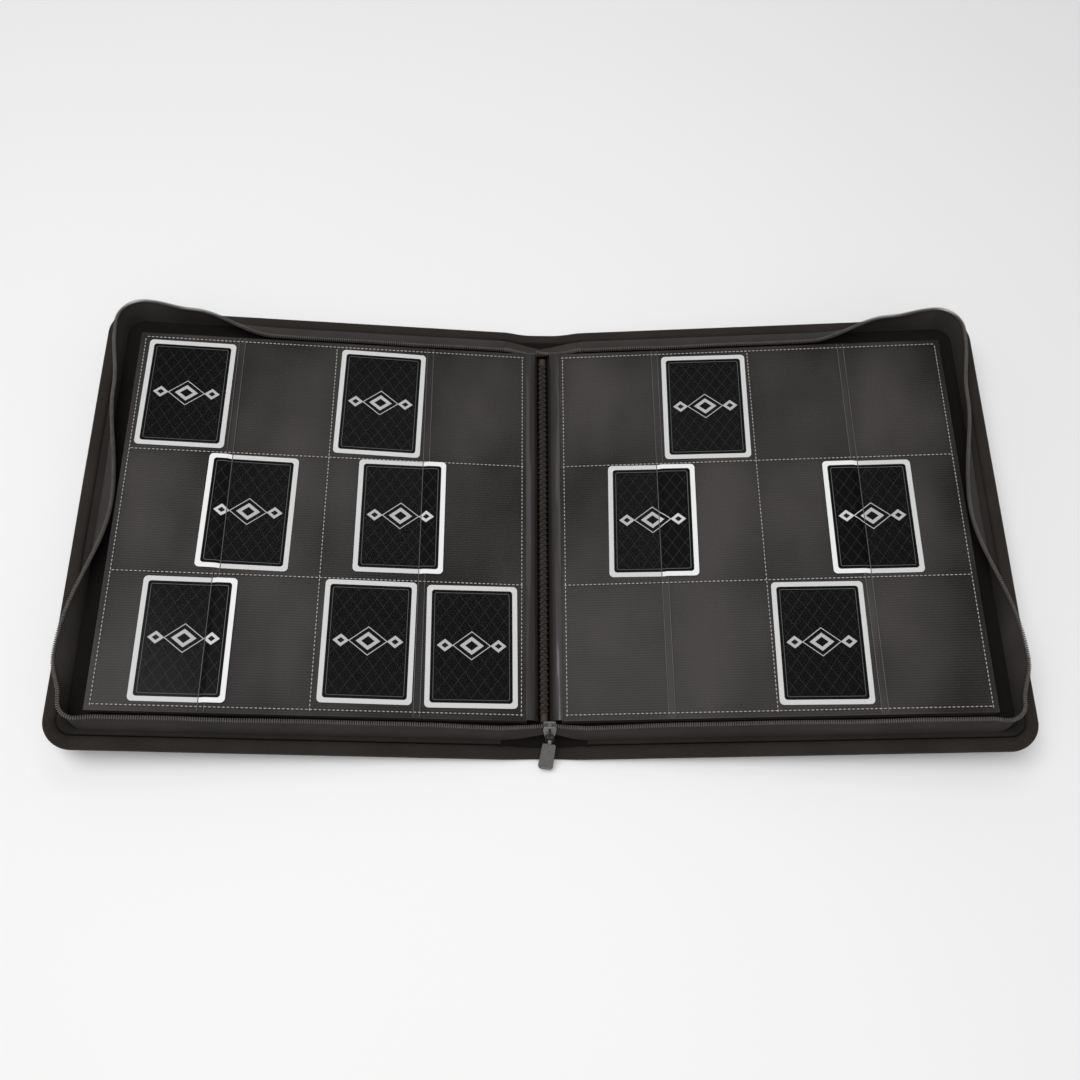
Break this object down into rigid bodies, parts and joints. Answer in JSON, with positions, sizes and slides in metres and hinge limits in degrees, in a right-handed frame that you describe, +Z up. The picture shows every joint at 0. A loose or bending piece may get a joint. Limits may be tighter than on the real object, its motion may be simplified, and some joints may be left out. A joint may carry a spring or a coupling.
{
  "type": "trading card binder",
  "caption": "Zip-round trading card binder lying open, with padded covers, bound pocket pages, cards in some pockets and a zip slider at the foot of the spine.",
  "frame": {"origin": "middle of the spine's underside, on the surface the open binder lies on", "axes": "+X to the reader's right across the open covers, +Y to the head of the pages, +Z up"},
  "size_m": [0.664, 0.3496, 0.0546],
  "materials": {
    "cover_fabric": "matt woven nylon over foam",
    "edge_binding": "matt woven binding",
    "lining_fabric": "dark matt lining",
    "zip_tape": "matt twill tape",
    "zip_coil": "satin nylon coil",
    "greyboard": "pressed board, hidden",
    "foam": "soft foam sheet, hidden",
    "slider_metal": "dark satin metal",
    "pull_metal": "satin grey metal",
    "page_sheet": "black polypropylene sheet",
    "pocket_film": "ribbed glossy film",
    "card_face": "coated card, white border and black panel",
    "thread": "lacing thread"
  },
  "bodies": {
    "spine": {"spine_skin": "cover_fabric", "spine_board": "greyboard", "spine_lining": "lining_fabric", "page_fold_bundle": "page_sheet", "binding_stitch": "thread", "left_hinge_cloth": "cover_fabric", "left_tape_tail": "zip_tape", "left_tape_head": "zip_tape", "left_gutter_strip": "page_sheet", "right_hinge_cloth": "cover_fabric", "right_tape_tail": "zip_tape", "right_tape_head": "zip_tape", "right_gutter_strip": "page_sheet"},
    "left_cover": {"left_cover_skin": "cover_fabric", "left_cover_foam": "foam", "left_cover_board": "greyboard", "left_cover_lining": "lining_fabric", "left_edge_binding": "edge_binding", "left_zipper_tape": "zip_tape", "left_zipper_coil": "zip_coil"},
    "left_page_block": {"left_leaf_1": "page_sheet", "left_leaf_2": "page_sheet", "left_leaf_3": "page_sheet", "left_leaf_4": "page_sheet"},
    "left_top_page": {"left_page_core": "page_sheet", "left_film_1": "pocket_film", "left_film_2": "pocket_film", "left_film_3": "pocket_film", "left_film_4": "pocket_film", "left_card_1": "card_face", "left_card_2": "card_face", "left_card_3": "card_face", "left_card_4": "card_face", "left_card_5": "card_face", "left_card_6": "card_face", "left_card_7": "card_face"},
    "right_cover": {"right_cover_skin": "cover_fabric", "right_cover_foam": "foam", "right_cover_board": "greyboard", "right_cover_lining": "lining_fabric", "right_edge_binding": "edge_binding", "right_zipper_tape": "zip_tape", "right_zipper_coil": "zip_coil"},
    "right_page_block": {"right_leaf_1": "page_sheet", "right_leaf_2": "page_sheet", "right_leaf_3": "page_sheet", "right_leaf_4": "page_sheet"},
    "right_top_page": {"right_page_core": "page_sheet", "right_film_1": "pocket_film", "right_film_2": "pocket_film", "right_film_3": "pocket_film", "right_film_4": "pocket_film", "right_card_1": "card_face", "right_card_2": "card_face", "right_card_3": "card_face", "right_card_4": "card_face"},
    "slider": {"slider_body": "slider_metal"},
    "pull": {"pull_link": "slider_metal", "pull_tab": "pull_metal"}
  },
  "joints": [
    {"name": "left_cover_hinge", "type": "hinge", "parent": "spine", "child": "left_cover", "pos_m": [-0.02, 0, 0.0004], "axis": [0, -1, 0], "range_deg": [-85, 0], "deforming": ["left_hinge_cloth", "left_zipper_tape", "left_zipper_coil", "left_tape_tail", "left_tape_head"]},
    {"name": "left_block_hinge", "type": "hinge", "parent": "spine", "child": "left_page_block", "pos_m": [-0.01315, 0, 0.00635], "axis": [0, -1, 0], "range_deg": [-85, 0], "deforming": ["left_gutter_strip", "page_fold_bundle", "binding_stitch"]},
    {"name": "left_page_turn", "type": "hinge", "parent": "left_page_block", "child": "left_top_page", "pos_m": [0, 0, 0.0184], "axis": [0, 1, 0], "range_deg": [0, 170]},
    {"name": "right_cover_hinge", "type": "hinge", "parent": "spine", "child": "right_cover", "pos_m": [0.02, 0, 0.0004], "axis": [0, 1, 0], "range_deg": [-85, 0], "deforming": ["right_hinge_cloth", "right_zipper_tape", "right_zipper_coil", "right_tape_tail", "right_tape_head"]},
    {"name": "right_block_hinge", "type": "hinge", "parent": "spine", "child": "right_page_block", "pos_m": [0.01315, 0, 0.00635], "axis": [0, 1, 0], "range_deg": [-85, 0], "deforming": ["right_gutter_strip"]},
    {"name": "right_page_turn", "type": "hinge", "parent": "right_page_block", "child": "right_top_page", "pos_m": [0, 0, 0.0184], "axis": [0, -1, 0], "range_deg": [0, 170]},
    {"name": "slider_travel", "type": "slide", "parent": "spine", "child": "slider", "axis": [0, 0, 1], "range_m": [0, 0.02]},
    {"name": "pull_swing", "type": "hinge", "parent": "slider", "child": "pull", "pos_m": [0.0035, -0.15873, 0.02183], "axis": [-1, 0, 0], "range_deg": [0, 120]}
  ],
  "couplings": [
    {"joint": "left_block_hinge", "follows": "left_cover_hinge", "ratio": 1},
    {"joint": "right_block_hinge", "follows": "right_cover_hinge", "ratio": 1}
  ]
}
